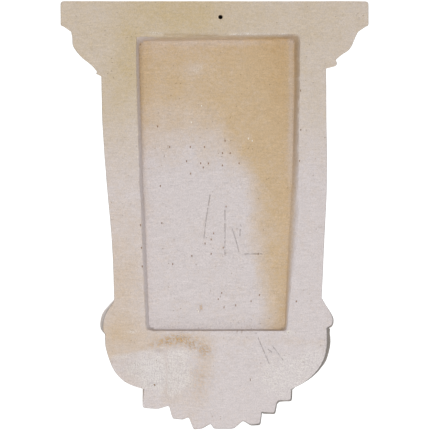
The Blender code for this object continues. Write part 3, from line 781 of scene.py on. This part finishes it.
def lobe(name, side, down, turn, reach, tilt):
    """A fan of rounded fingers."""
    phi = np.linspace(-1.0, 1.0, 12 * LOBE_FINGERS + 1)
    shares = np.array(LOBE_ROWS)
    angle = np.radians(turn + phi * LOBE_SPREAD)
    r = shares[:, None] * lobe_reach(phi)[None, :] * reach
    x = side * r * np.sin(angle)[None, :]
    q = down + r * np.cos(angle)[None, :]
    height = LEAF_EDGE + LEAF_RELIEF * lobe_height(shares[:, None], phi[None, :])
    height = height - tilt * phi[None, :] * shares[:, None]
    top = np.stack([x, -leaf_bed(x, q) - height, TOP_Z - BODY_START - LEAF_START - q], axis=2)
    return rooted(name, top)


def rib():
    """Rounded rib down the middle of the leaf, thinning towards its tip."""
    rows = []
    across = np.cos(np.linspace(0.0, math.pi, RIB_COLUMNS))
    round_over = np.sqrt(np.clip(1.0 - across**2, 0.0, 1.0))
    for share in np.linspace(0.0, 0.93, 60):
        q = LEAF_LENGTH * share
        x = RIB_WIDTH / 2 * (1.0 - 0.72 * share) * across
        height = LEAF_EDGE + RIB_HEIGHT * (1.0 - 0.35 * share) * round_over
        z = np.full(RIB_COLUMNS, TOP_Z - BODY_START - LEAF_START - q)
        rows.append(np.stack([x, -leaf_bed(x, q) - height, z], axis=1))
    return rooted("leaf_rib", np.array(rows))


def leaf():
    """All lobes and the rib joined into one solid."""
    pieces = [rib()]
    for index, (down, turn, reach) in enumerate(LOBES):
        for side, word in ((1, "right"), (-1, "left")):
            size = reach * LEAF_HALF_WIDTH
            pieces.append(lobe(f"lobe_{index}_{word}", side, down * LEAF_LENGTH, turn, size, LEAF_TILT))
    end_reach = LEAF_LENGTH * (1.0 - END_LOBE_DOWN)
    pieces.append(lobe("lobe_end", 1, END_LOBE_DOWN * LEAF_LENGTH, 0.0, end_reach, 0.0))
    whole = pieces[0]
    for piece in pieces[1:]:
        boolean(whole, piece, "UNION")
    return whole


def nail_cutter():
    clear_selection()
    bpy.ops.mesh.primitive_cylinder_add(
        vertices=28,
        radius=NAIL_RADIUS,
        depth=NAIL_DEPTH * 2,
        location=(NAIL_X, 0.0, TOP_Z - NAIL_DROP),
        rotation=(math.pi / 2, 0.0, 0.0),
    )
    return bpy.context.object


def read(items, name):
    """One vector of every vertex or face of a mesh."""
    values = np.empty(len(items) * 3)
    items.foreach_get(name, values)
    return values.reshape(-1, 3)


def casting():
    """The whole corbel as one closed shell."""
    rim = level(BOWL_RIGHT, BOWL_LEFT, BOWL_DEPTH, roll_drops(1.0), BOWL_CORNER, flare=BOWL_FLARE, even=1.0)
    upper = np.array([row_points(spec) for spec in capital_levels() + body_levels() + roll_levels()])
    pendant = raise_leaflets(pendant_rows(row_points(rim), pendant_outline()))
    front = np.concatenate([upper, pendant])
    front[:, 0, 1] = front[:, -1, 1] = -ARRIS
    front[-1, :, 1] = -ARRIS
    outline = front[-1]
    right_ends = np.concatenate([front[: len(upper), 0], outline[: SHOULDER_COLUMNS + 1]])
    left_ends = np.concatenate([front[: len(upper), -1], outline[::-1][: SHOULDER_COLUMNS + 1]])
    back = back_sheet((right_ends, left_ends))
    tips = tip_sheet(back[-1], outline[SHOULDER_COLUMNS : SHOULDER_COLUMNS + TIP_COLUMNS + 1])
    lift = np.array([0.0, 0.0, TOP_Z])
    pieces = [
        sheet_object("front", front + lift),
        sheet_object("back", back + lift),
        sheet_object("tips", tips + lift),
    ]
    shell = joined("corbel_casting", pieces)
    boolean(shell, leaf(), "UNION")
    boolean(shell, nail_cutter(), "DIFFERENCE")
    return shell


def uneven(shell, amount):
    """Wears the surface in by a little: long low swells and a finer unevenness, never outwards."""
    mesh = shell.data
    points = read(mesh.vertices, "co")
    normals = read(mesh.vertices, "normal")
    worn = np.full(len(points), 0.5)
    for share, size, seed in WEAR:
        worn += share * noise(points, size, seed)
    points -= normals * (amount * np.clip(worn, 0.0, 1.0))[:, None]
    points = np.clip(points, CAD_BOX[0], CAD_BOX[1])
    mesh.vertices.foreach_set("co", points.ravel())
    mesh.update()


def ease(value, start, end):
    """0 at the start, 1 at the end and smooth between them. The start may be the larger."""
    return smoothstep((value - start) / (end - start))


def patches(x_mm, d_mm, spots):
    """Sum of soft oval patches."""
    total = np.zeros(len(x_mm))
    for x, d, reach_x, reach_d, strength in spots:
        total += strength * np.exp(-(((x_mm - x) / reach_x) ** 2) - ((d_mm - d) / reach_d) ** 2)
    return total


def band(distance, middle, reach):
    """1 in the middle of a soft band and 0 well outside it."""
    return np.exp(-(((distance - middle) / reach) ** 2))


def line_drop(x_mm, line):
    """Drop of a line that runs from right to left, in mm."""
    return np.interp(-x_mm, [-x for x, _ in line], [d for _, d in line])


def line_distance(x_mm, d_mm, line):
    """Distance to a line of straight runs, in mm."""
    best = np.full(len(x_mm), 1e9)
    for (ax, ad), (bx, bd) in zip(line[:-1], line[1:]):
        run = (bx - ax) ** 2 + (bd - ad) ** 2
        t = np.clip(((x_mm - ax) * (bx - ax) + (d_mm - ad) * (bd - ad)) / run, 0.0, 1.0)
        best = np.minimum(best, np.hypot(x_mm - ax - t * (bx - ax), d_mm - ad - t * (bd - ad)))
    return best


def floor_stain(points, x_mm, d_mm, coarse):
    """Tan on the hollow's floor: full above the border line and left of its end, and fading across it."""
    tan_side = (d_mm < line_drop(x_mm, TAN_BORDER)) | (x_mm < TAN_BORDER[-1][0])
    distance = np.where(tan_side, 1.0, -1.0) * line_distance(x_mm, d_mm, TAN_BORDER)
    distance = distance + 4.0 * coarse + 7.0 * noise(points, 0.040, 14)
    softness = TAN_SOFTNESS[0] + (TAN_SOFTNESS[1] - TAN_SOFTNESS[0]) * ease(x_mm, -25.0, 10.0)
    stain = 0.95 * smoothstep(0.5 + distance / softness) - 0.10 * ease(d_mm, 180.0, 300.0)
    return np.clip(stain, 0.0, 1.0) + patches(x_mm, d_mm, FLOOR_STAINS)


def rim_stain(x_mm, d_mm, past_edge):
    """Tan on the flat back round the hollow, stronger above the trowel's edge and weaker below it."""
    wash = 0.46 * (1.0 - ease(d_mm, 70.0, 210.0)) + 0.13 * ease(x_mm, -10.0, 50.0)
    below = ease(past_edge, 0.0, TROWEL_SHARP_MM) * ease(x_mm, 52.0, 60.0)
    above = ease(past_edge, 0.0, -TROWEL_SHARP_MM) * ease(x_mm, 62.0, 72.0) * ease(d_mm, 318.0, 333.0)
    stain = wash + patches(x_mm, d_mm, RIM_STAINS)
    return np.maximum(stain, 0.52 * above) * (1.0 - 0.55 * below)


def chalk_dust(x_mm, d_mm, past_edge, ridge, fine):
    """Chalky dust in patches and along the ridge that the trowel left, and none just above that ridge."""
    chalk = patches(x_mm, d_mm, CHALK_PATCHES) * (1.0 + 0.5 * fine)
    under = ease(past_edge, 0.0, TROWEL_SHARP_MM) * ease(x_mm, 48.0, 58.0)
    chalk = chalk * np.where((x_mm > 50.0) & (d_mm > 335.0), under, 1.0)
    return 0.75 * ease(chalk + 0.7 * band(ridge, 0.0, 1.4), 0.20, 0.65)


def brown_dirt_and_crease_shade(x_mm, d_mm, past_edge, ridge, on_wall):
    """Brown dirt on the hollow's left and top walls, on its upper lip and under the ridge, and painted shade
    as a dark brown line along its bottom wall.
    """
    left = (0.50 - 0.42 * ease(d_mm, 140.0, 200.0)) * ease(x_mm, -55.0, -70.0)
    top = 0.12 * ease(d_mm, 46.0, 40.0) * ease(np.abs(x_mm), 78.0, 74.0)
    # Painted shade: a dark brown line along the hollow's bottom wall
    bottom = 0.85 * ease(d_mm, 326.0, 329.0)
    lip = 0.7 * band(d_mm, 34.0, 1.0) * ease(x_mm, 54.5, 51.5) * ease(x_mm, -2.5, 0.5)
    under = 0.35 * band(ridge, 2.2, 1.2) * ease(past_edge, 0.0, TROWEL_SHARP_MM)
    return np.maximum.reduce([left * on_wall, top * on_wall, bottom * on_wall, lip, under])


def finish_fields(points, on_side):
    """How strongly each mark of the plaster shows at every point."""
    x_mm, y, d_mm = points[:, 0] / MM, points[:, 1], (TOP_Z - points[:, 2]) / MM
    half_width, top, bottom = HOLLOW_BOX_MM
    by_hollow = (np.abs(x_mm) < half_width) & (d_mm > top) & (d_mm < bottom)
    back = (y > -BACK_SKIN) | (by_hollow & (y > -BACK_REACH))
    coarse = noise(points, 0.014, 11)
    fine = noise(points, 0.005, 12)
    share = hollow_depth(points[:, 0], d_mm * MM)[1]
    inside = ease(share, 0.15, 1.0)
    on_wall = (y < -WALL_START) * ease(share, 0.0, 0.125) * ease(share, 1.0, 0.875)
    past_edge = d_mm - line_drop(x_mm, TROWEL_EDGE)
    ridge = line_distance(x_mm, d_mm, TROWEL_EDGE)

    back_stain = floor_stain(points, x_mm, d_mm, coarse) * inside
    back_stain = back_stain + rim_stain(x_mm, d_mm, past_edge) * (1.0 - inside) + 0.05 * coarse + 0.04 * fine
    front_stain = 0.30 + 0.18 * noise(points, 0.060, 13) + 0.08 * coarse + 0.25 * ease(d_mm, 40.0, 0.0)
    stain = np.where(back, back_stain, front_stain) * (1.0 - 0.75 * on_wall * ease(x_mm, 55.0, 75.0))
    # Painted shade: dark grey on the sides next to the back, fading away from the back face
    in_edge_shade = on_side & ~by_hollow & (y < -EDGE_SHADE_START)
    return {
        "stain": stain,
        "olive": np.where(back, (1.0 - inside) * (1.0 - ease(d_mm, 110.0, 240.0)), 0.4),
        "chalk": np.where(back, chalk_dust(x_mm, d_mm, past_edge, ridge, fine), 0.12 + 0.12 * coarse),
        "ochre": np.where(back, patches(x_mm, d_mm, OCHRE_PATCHES), 0.0),
        "dirt_and_crease_shade": np.where(back, brown_dirt_and_crease_shade(x_mm, d_mm, past_edge, ridge, on_wall), 0.10 + 0.10 * fine),
        "painted_edge_shade": np.where(in_edge_shade, (0.9 + 0.3 * fine) * np.exp(y / EDGE_SHADE_FADE), 0.0),
        "comb": np.where(back, patches(x_mm, d_mm, COMB_PATCHES), 0.0),
    }


def side_points(mesh, points):
    """Points of the sides next to the back, which take the painted shade."""
    on_side = np.zeros(len(points), bool)
    for polygon in mesh.polygons:
        if polygon.normal.y < SIDE_FACING:
            on_side[list(polygon.vertices)] = True
    return on_side & (points[:, 1] > -EDGE_SHADE_REACH)


def open_pits(shell, marks):
    """Sinks one small hole into the face nearest to each mark and returns the points inside the holes."""
    mesh = shell.data
    centres = read(mesh.polygons, "center")
    facing = (read(mesh.polygons, "normal")[:, 1] > BACK_FACING) & (centres[:, 1] > -BACK_REACH)
    chosen = np.zeros(len(centres), bool)
    for x, d in marks:
        away = np.hypot(centres[:, 0] - x * MM, TOP_Z - centres[:, 2] - d * MM)
        chosen[np.argmin(np.where(facing, away, 1.0))] = True
    clear_selection()
    shell.select_set(True)
    bpy.context.view_layer.objects.active = shell
    bpy.ops.object.mode_set(mode="EDIT")
    bpy.ops.mesh.select_mode(type="FACE")
    bpy.ops.mesh.select_all(action="DESELECT")
    bpy.ops.object.mode_set(mode="OBJECT")
    mesh.polygons.foreach_set("select", chosen)
    bpy.ops.object.mode_set(mode="EDIT")
    bpy.ops.mesh.inset(thickness=PIT_RIM, depth=-PIT_DEPTH, use_individual=True)
    bpy.ops.object.mode_set(mode="OBJECT")
    inner = np.zeros(len(mesh.vertices), bool)
    for polygon in mesh.polygons:
        if polygon.select:
            inner[list(polygon.vertices)] = True
    return inner


def store(mesh, name, values):
    layer = mesh.attributes.new(name, "FLOAT", "POINT")
    layer.data.foreach_set("value", np.asarray(values, np.float32))


def linear(hex_colour):
    """An sRGB hex colour as linear RGB."""
    parts = [int(hex_colour[k : k + 2], 16) / 255 for k in (1, 3, 5)]
    return tuple(c / 12.92 if c <= 0.04045 else ((c + 0.055) / 1.055) ** 2.4 for c in parts)


def add(tree, kind, inputs, output=0, **options):
    """Adds one node, fills its sockets with values or links, and returns one of its outputs."""
    item = tree.nodes.new(kind)
    for key, value in options.items():
        setattr(item, key, value)
    for key, value in inputs.items():
        if isinstance(value, bpy.types.NodeSocket):
            tree.links.new(value, item.inputs[key])
        else:
            item.inputs[key].default_value = value
    return item.outputs[output]


def attribute(tree, name):
    return add(tree, "ShaderNodeAttribute", {}, "Fac", attribute_name=name)


def maths(tree, operation, a, b=0.0, c=0.0):
    return add(tree, "ShaderNodeMath", {0: a, 1: b, 2: c}, operation=operation)


def ramp(tree, value, low, high):
    """0 below low, 1 above high and smooth between."""
    inputs = {"Value": value, "From Min": low, "From Max": high}
    return add(tree, "ShaderNodeMapRange", inputs, interpolation_type="SMOOTHSTEP")


def times(tree, a, b):
    return maths(tree, "MULTIPLY", a, b)


def vectors(tree, operation, first, second, output=0):
    key = "Scale" if operation == "SCALE" else 1
    return add(tree, "ShaderNodeVectorMath", {0: first, key: second}, output, operation=operation)


def mixed(tree, share, a, b):
    return add(tree, "ShaderNodeMix", {0: share, 6: a, 7: b}, 2, data_type="RGBA")


def tinted(tree, share, colour, hex_colour):
    return mixed(tree, share, colour, (*linear(hex_colour), 1.0))


def grain(tree, place, size_mm, detail=2.0, stretch=None):
    """Noise with features of about the given size."""
    where = vectors(tree, "MULTIPLY", place, stretch) if stretch else place
    inputs = {"Vector": where, "Scale": 1000.0 / size_mm, "Detail": detail}
    return add(tree, "ShaderNodeTexNoise", inputs)


def scratch_distance(tree, place):
    """Distance in metres to the nearest scratch on the back."""
    flat = vectors(tree, "MULTIPLY", place, (1.0, 0.0, 1.0))
    nearest = None
    for line in SCRATCHES:
        for (ax, ad), (bx, bd) in zip(line[:-1], line[1:]):
            start = Vector((ax * MM, 0.0, TOP_Z - ad * MM))
            along = Vector((bx * MM, 0.0, TOP_Z - bd * MM)) - start
            offset = vectors(tree, "SUBTRACT", flat, start)
            share = vectors(tree, "DOT_PRODUCT", offset, along / along.length_squared, "Value")
            held = add(tree, "ShaderNodeClamp", {"Value": share})
            foot = vectors(tree, "SCALE", along, held)
            away = vectors(tree, "DISTANCE", offset, foot, "Value")
            nearest = away if nearest is None else maths(tree, "MINIMUM", nearest, away)
    return nearest


def cast_plaster(settings):
    """Dry cast plaster.

    The eye sees a matt, faintly lilac white that mould oil has turned tan in soft drifts, with chalky dust
    where it was trowelled, brown dirt on the walls of the hollow, painted shade as a dark line along its
    bottom and as dark grey along the back's edge, ochre crumbs, open pinholes and a few dull scratches.
    """
    material = bpy.data.materials.new("cast_plaster")
    material.use_nodes = True
    tree = material.node_tree
    shader = tree.nodes["Principled BSDF"]
    place = add(tree, "ShaderNodeTexCoord", {}, "Object")
    cloud = grain(tree, place, 16.0, 3.0)
    mottle = grain(tree, place, 3.2, 3.0)
    speck = grain(tree, place, 1.1, 2.0)
    streak = grain(tree, place, 2.0, 2.0, (0.22, 1.0, 1.0))

    # Tan drifts, broken up by the cloud and the mottle, and deeper ochre where they are strongest
    broken = maths(tree, "MULTIPLY_ADD", maths(tree, "SUBTRACT", mottle, 0.5), 0.55, attribute(tree, "stain"))
    broken = maths(tree, "MULTIPLY_ADD", maths(tree, "SUBTRACT", cloud, 0.5), 0.30, broken)
    tan_share = add(tree, "ShaderNodeClamp", {"Value": broken})
    tan = tinted(tree, attribute(tree, "olive"), (*settings.stain, 1.0), "#C5B08D")
    colour = mixed(tree, tan_share, (*settings.plaster, 1.0), tan)
    colour = tinted(tree, ramp(tree, broken, 0.95, 1.75), colour, "#BD9A68")

    # Chalky dust, with holes in it
    comb = add(
        tree,
        "ShaderNodeTexWave",
        {"Vector": place, "Scale": 130.0, "Distortion": 2.0, "Detail": 1.0, "Detail Scale": 0.6},
        "Fac",
        bands_direction="X",
    )
    comb = times(tree, comb, attribute(tree, "comb"))
    crumb = maths(tree, "MULTIPLY_ADD", speck, 0.6, times(tree, mottle, 0.4))
    holes = maths(tree, "MULTIPLY_ADD", comb, 0.08, crumb)
    dusty = times(tree, attribute(tree, "chalk"), ramp(tree, holes, 0.43, 0.57))
    colour = tinted(tree, dusty, colour, "#DCD5D0")

    # Ochre crumbs: only the peaks of the grain
    crumbs = times(tree, attribute(tree, "ochre"), ramp(tree, crumb, 0.49, 0.55))
    colour = tinted(tree, times(tree, crumbs, 0.85), colour, "#CBA26B")

    # Brown dirt on the walls of the hollow, on its upper lip and under the trowel's ridge, and painted shade
    # as a dark line along the hollow's bottom wall
    dirt_and_crease_shade = times(tree, attribute(tree, "dirt_and_crease_shade"), ramp(tree, cloud, -0.1, 0.5))
    colour = tinted(tree, times(tree, dirt_and_crease_shade, 0.62), colour, "#8C6C47")

    # Painted shade: dark grey on the sides next to the back, which outlines the back with a thin dark line
    painted_edge_shade = times(tree, attribute(tree, "painted_edge_shade"), ramp(tree, cloud, 0.1, 0.5))
    colour = tinted(tree, times(tree, painted_edge_shade, 0.8), colour, "#6E6A64")

    # Brown pits, pale chips, and pinholes in clusters
    colour = tinted(tree, times(tree, attribute(tree, "pit"), 0.85), colour, "#8F6B46")
    colour = tinted(tree, attribute(tree, "chip"), colour, "#EFE8DC")
    cells = add(tree, "ShaderNodeTexVoronoi", {"Vector": place, "Scale": 1000.0 / 5.0}, "Distance")
    pinhole = times(tree, ramp(tree, cells, 0.13, 0.07), ramp(tree, cloud, 0.47, 0.60))
    colour = tinted(tree, times(tree, pinhole, 0.55), colour, "#9A8266")

    # Dull scratches
    scratch = ramp(tree, scratch_distance(tree, place), 0.00065, 0.0002)
    scratch = times(tree, scratch, ramp(tree, mottle, 0.36, 0.52))
    colour = tinted(tree, times(tree, scratch, 0.5), colour, "#8E8480")

    # Fine lightness changes of the dry surface
    light = maths(tree, "MULTIPLY_ADD", speck, 0.50, 0.75)
    light = times(tree, light, maths(tree, "MULTIPLY_ADD", streak, 0.22, 0.89))
    tree.links.new(vectors(tree, "SCALE", colour, light), shader.inputs["Base Color"])
    shader.inputs["Roughness"].default_value = 0.88
    shader.inputs["Specular IOR Level"].default_value = 0.25

    # Relief: grain, drag marks of the trowel, combed arcs, and the scratches and pinholes sunk in
    height = times(tree, mottle, 0.8)
    for part, share in ((speck, 0.55), (streak, 0.7), (comb, 0.8), (crumbs, 0.9)):
        height = maths(tree, "MULTIPLY_ADD", part, share, height)
    height = maths(tree, "MULTIPLY_ADD", maths(tree, "MAXIMUM", scratch, pinhole), -0.9, height)
    bump = add(tree, "ShaderNodeBump", {"Strength": 0.8, "Distance": 0.0006, "Height": height})
    tree.links.new(bump, shader.inputs["Normal"])
    return material


def plain_material(name, inputs):
    """A material made only of values on its shader's sockets."""
    material = bpy.data.materials.new(name)
    material.use_nodes = True
    for key, value in inputs.items():
        material.node_tree.nodes["Principled BSDF"].inputs[key].default_value = value
    return material


def stage_plane(name, size, place, rotation, material):
    """A large plane of the stage, which isn't part of the object."""
    clear_selection()
    bpy.ops.mesh.primitive_plane_add(size=size, location=place, rotation=rotation)
    plane = bpy.context.object
    plane.name = name
    plane.data.materials.append(material)


def placed(scene, name, data, away, direction):
    """A lamp or camera at a place away from the middle of the picture, looking along the direction."""
    holder = bpy.data.objects.new(name, data)
    scene.collection.objects.link(holder)
    holder.location = Vector(PICTURE_MIDDLE) + away
    holder.rotation_mode = "QUATERNION"
    holder.rotation_quaternion = direction.to_track_quat("-Z", "Y")
    return holder


class CorbelSettings(bpy.types.PropertyGroup):
    """Sizes and colours a user would change."""

    unevenness: bpy.props.FloatProperty(
        name="Unevenness",
        description="How far the hand-finished surface wanders from true",
        default=0.0004,
        min=0.0,
        max=0.003,
        unit="LENGTH",
    )
    plaster: bpy.props.FloatVectorProperty(
        name="Plaster",
        description="Colour of clean dry plaster",
        subtype="COLOR",
        size=3,
        default=linear("#D2C8C6"),
    )
    stain: bpy.props.FloatVectorProperty(
        name="Stain",
        description="Colour of plaster that soaked up mould oil",
        subtype="COLOR",
        size=3,
        default=linear("#C8AE8C"),
    )
    camera_distance: bpy.props.FloatProperty(
        name="Camera distance",
        description="Distance from the camera to the back face",
        default=2.6,
        unit="LENGTH",
    )


class CORBEL_OT_casting(bpy.types.Operator):
    """Make the plaster casting and put it in place of the plain solid"""

    bl_idname = "corbel.casting"
    bl_label = "Make casting"

    def execute(self, context):
        settings = context.scene.corbel
        shell = casting()
        mesh = shell.data
        pits = open_pits(shell, PITS)
        pits_before = len(mesh.vertices)
        chips = open_pits(shell, CHIPS)
        points = read(mesh.vertices, "co")
        for name, values in finish_fields(points, side_points(mesh, points)).items():
            store(mesh, name, values)
        store(mesh, "pit", np.concatenate([pits, np.zeros(len(points) - pits_before, bool)]))
        store(mesh, "chip", chips)
        uneven(shell, settings.unevenness)
        clear_selection()
        shell.select_set(True)
        bpy.context.view_layer.objects.active = shell
        bpy.ops.object.shade_smooth_by_angle(angle=math.radians(SMOOTH_DEGREES))
        shell.data.materials.clear()
        shell.data.materials.append(cast_plaster(settings))
        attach(shell, "root")
        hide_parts("corbel")
        return {"FINISHED"}


class CORBEL_OT_stage(bpy.types.Operator):
    """Make the floor, the white backdrop, the soft lights and the camera"""

    bl_idname = "corbel.stage"
    bl_label = "Make stage"

    def execute(self, context):
        settings = context.scene.corbel
        paper = {"Base Color": (0.8, 0.8, 0.8, 1.0), "Roughness": 0.9}
        glow = {
            "Base Color": (0.0, 0.0, 0.0, 1.0),
            "Emission Color": (1.0, 1.0, 1.0, 1.0),
            "Emission Strength": 1.15,
        }
        upright = (math.pi / 2, 0.0, 0.0)
        paper = plain_material("matt_white_paper", paper)
        glow = plain_material("lit_white_backdrop", glow)
        stage_plane("floor", 12.0, (0.0, 0.0, -FLOOR_DROP), (0.0, 0.0, 0.0), paper)
        stage_plane("backdrop", 9.0, (0.0, -BACKDROP_AWAY, 0.0), upright, glow)
        world = bpy.data.worlds.new("studio")
        world.use_nodes = True
        world.node_tree.nodes["Background"].inputs["Color"].default_value = (0.94, 0.97, 1.0, 1.0)
        world.node_tree.nodes["Background"].inputs["Strength"].default_value = 0.51
        context.scene.world = world
        for name, (place, size, power) in LAMPS.items():
            lamp = bpy.data.lights.new(name, "AREA")
            lamp.size = size
            lamp.energy = power
            placed(context.scene, name, lamp, Vector(place), -Vector(place))
        lens = bpy.data.cameras.new("camera")
        lens.sensor_width = SENSOR_MM
        lens.lens = SENSOR_MM * settings.camera_distance / PICTURE_WIDTH
        away = Vector((0.0, settings.camera_distance, 0.0))
        context.scene.camera = placed(context.scene, "camera", lens, away, Vector((0.0, -1.0, 0.0)))
        context.scene.view_settings.view_transform = "Standard"
        return {"FINISHED"}


class CORBEL_PT_panel(bpy.types.Panel):
    """Lists the corbel's operators and settings"""

    bl_label = "Leaf corbel"
    bl_idname = "CORBEL_PT_panel"
    bl_space_type = "VIEW_3D"
    bl_region_type = "UI"
    bl_category = "Corbel"

    def draw(self, context):
        settings = context.scene.corbel
        for name in ("unevenness", "plaster", "stain", "camera_distance"):
            self.layout.prop(settings, name)
        self.layout.operator(CORBEL_OT_casting.bl_idname)
        self.layout.operator(CORBEL_OT_stage.bl_idname)


CLASSES = (CorbelSettings, CORBEL_OT_casting, CORBEL_OT_stage, CORBEL_PT_panel)


def register():
    for cls in CLASSES:
        bpy.utils.register_class(cls)
    bpy.types.Scene.corbel = bpy.props.PointerProperty(type=CorbelSettings)


def unregister():
    del bpy.types.Scene.corbel
    for cls in reversed(CLASSES):
        bpy.utils.unregister_class(cls)


def main():
    register()
    bpy.ops.corbel.casting()
    bpy.ops.corbel.stage()


if __name__ == "__main__":
    main()
